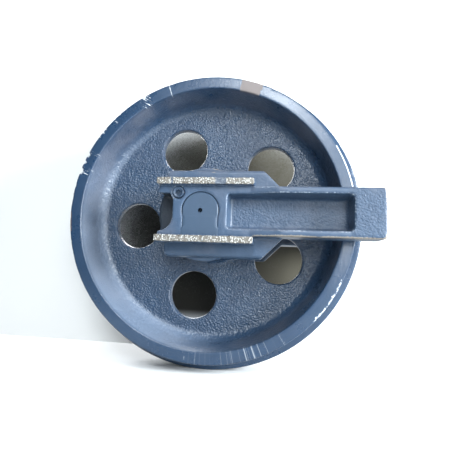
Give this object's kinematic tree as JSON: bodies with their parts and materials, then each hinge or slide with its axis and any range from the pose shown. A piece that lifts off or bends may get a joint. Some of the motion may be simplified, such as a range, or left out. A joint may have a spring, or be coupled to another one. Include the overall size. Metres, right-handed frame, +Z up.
{
  "type": "excavator front idler",
  "caption": "Flanged track idler wheel with a holed web, turning on a fixed shaft between two cast slide brackets whose arms run back to the recoil yoke.",
  "frame": {"origin": "centre of the wheel, on the shaft's axis in the middle plane of the web", "axes": "+Y along the shaft, away from the bracket that the picture shows; +X along the bracket arms, towards the recoil yoke; +Z up as on the machine"},
  "size_m": [0.58, 0.283, 0.566],
  "materials": {
    "painted_wheel": "semi-gloss slate-blue paint over rough casting, chipped at the edges",
    "painted_bracket": "semi-gloss slate-blue paint over rough casting",
    "guide_steel": "worn bare steel with specks of rust and paint",
    "shaft_steel": "ground steel, ends painted",
    "plug_steel": "painted steel",
    "washer_copper": "dull copper",
    "bush_bronze": "turned bronze",
    "seal_iron": "lapped hard iron",
    "seal_rubber": "smooth black rubber"
  },
  "bodies": {
    "support": {"shaft": "shaft_steel", "front_bracket": "painted_bracket", "rear_bracket": "painted_bracket", "front_upper_guide": "guide_steel", "front_lower_guide": "guide_steel", "rear_upper_guide": "guide_steel", "rear_lower_guide": "guide_steel", "front_lock_bar": "painted_bracket", "rear_lock_bar": "painted_bracket", "front_oil_plug": "plug_steel", "rear_oil_plug": "plug_steel", "front_plug_washer": "washer_copper", "rear_plug_washer": "washer_copper", "front_shaft_oring": "seal_rubber", "rear_shaft_oring": "seal_rubber", "front_bracket_seal_ring": "seal_iron", "rear_bracket_seal_ring": "seal_iron", "front_bracket_toric_ring": "seal_rubber", "rear_bracket_toric_ring": "seal_rubber"},
    "wheel": {"idler_wheel": "painted_wheel", "front_bush": "bush_bronze", "rear_bush": "bush_bronze", "front_wheel_seal_ring": "seal_iron", "rear_wheel_seal_ring": "seal_iron", "front_wheel_toric_ring": "seal_rubber", "rear_wheel_toric_ring": "seal_rubber"}
  },
  "joints": [
    {"name": "wheel_spin", "type": "hinge", "parent": "support", "child": "wheel", "pos_m": [0, 0, 0], "axis": [0, 1, 0], "continuous": true}
  ]
}
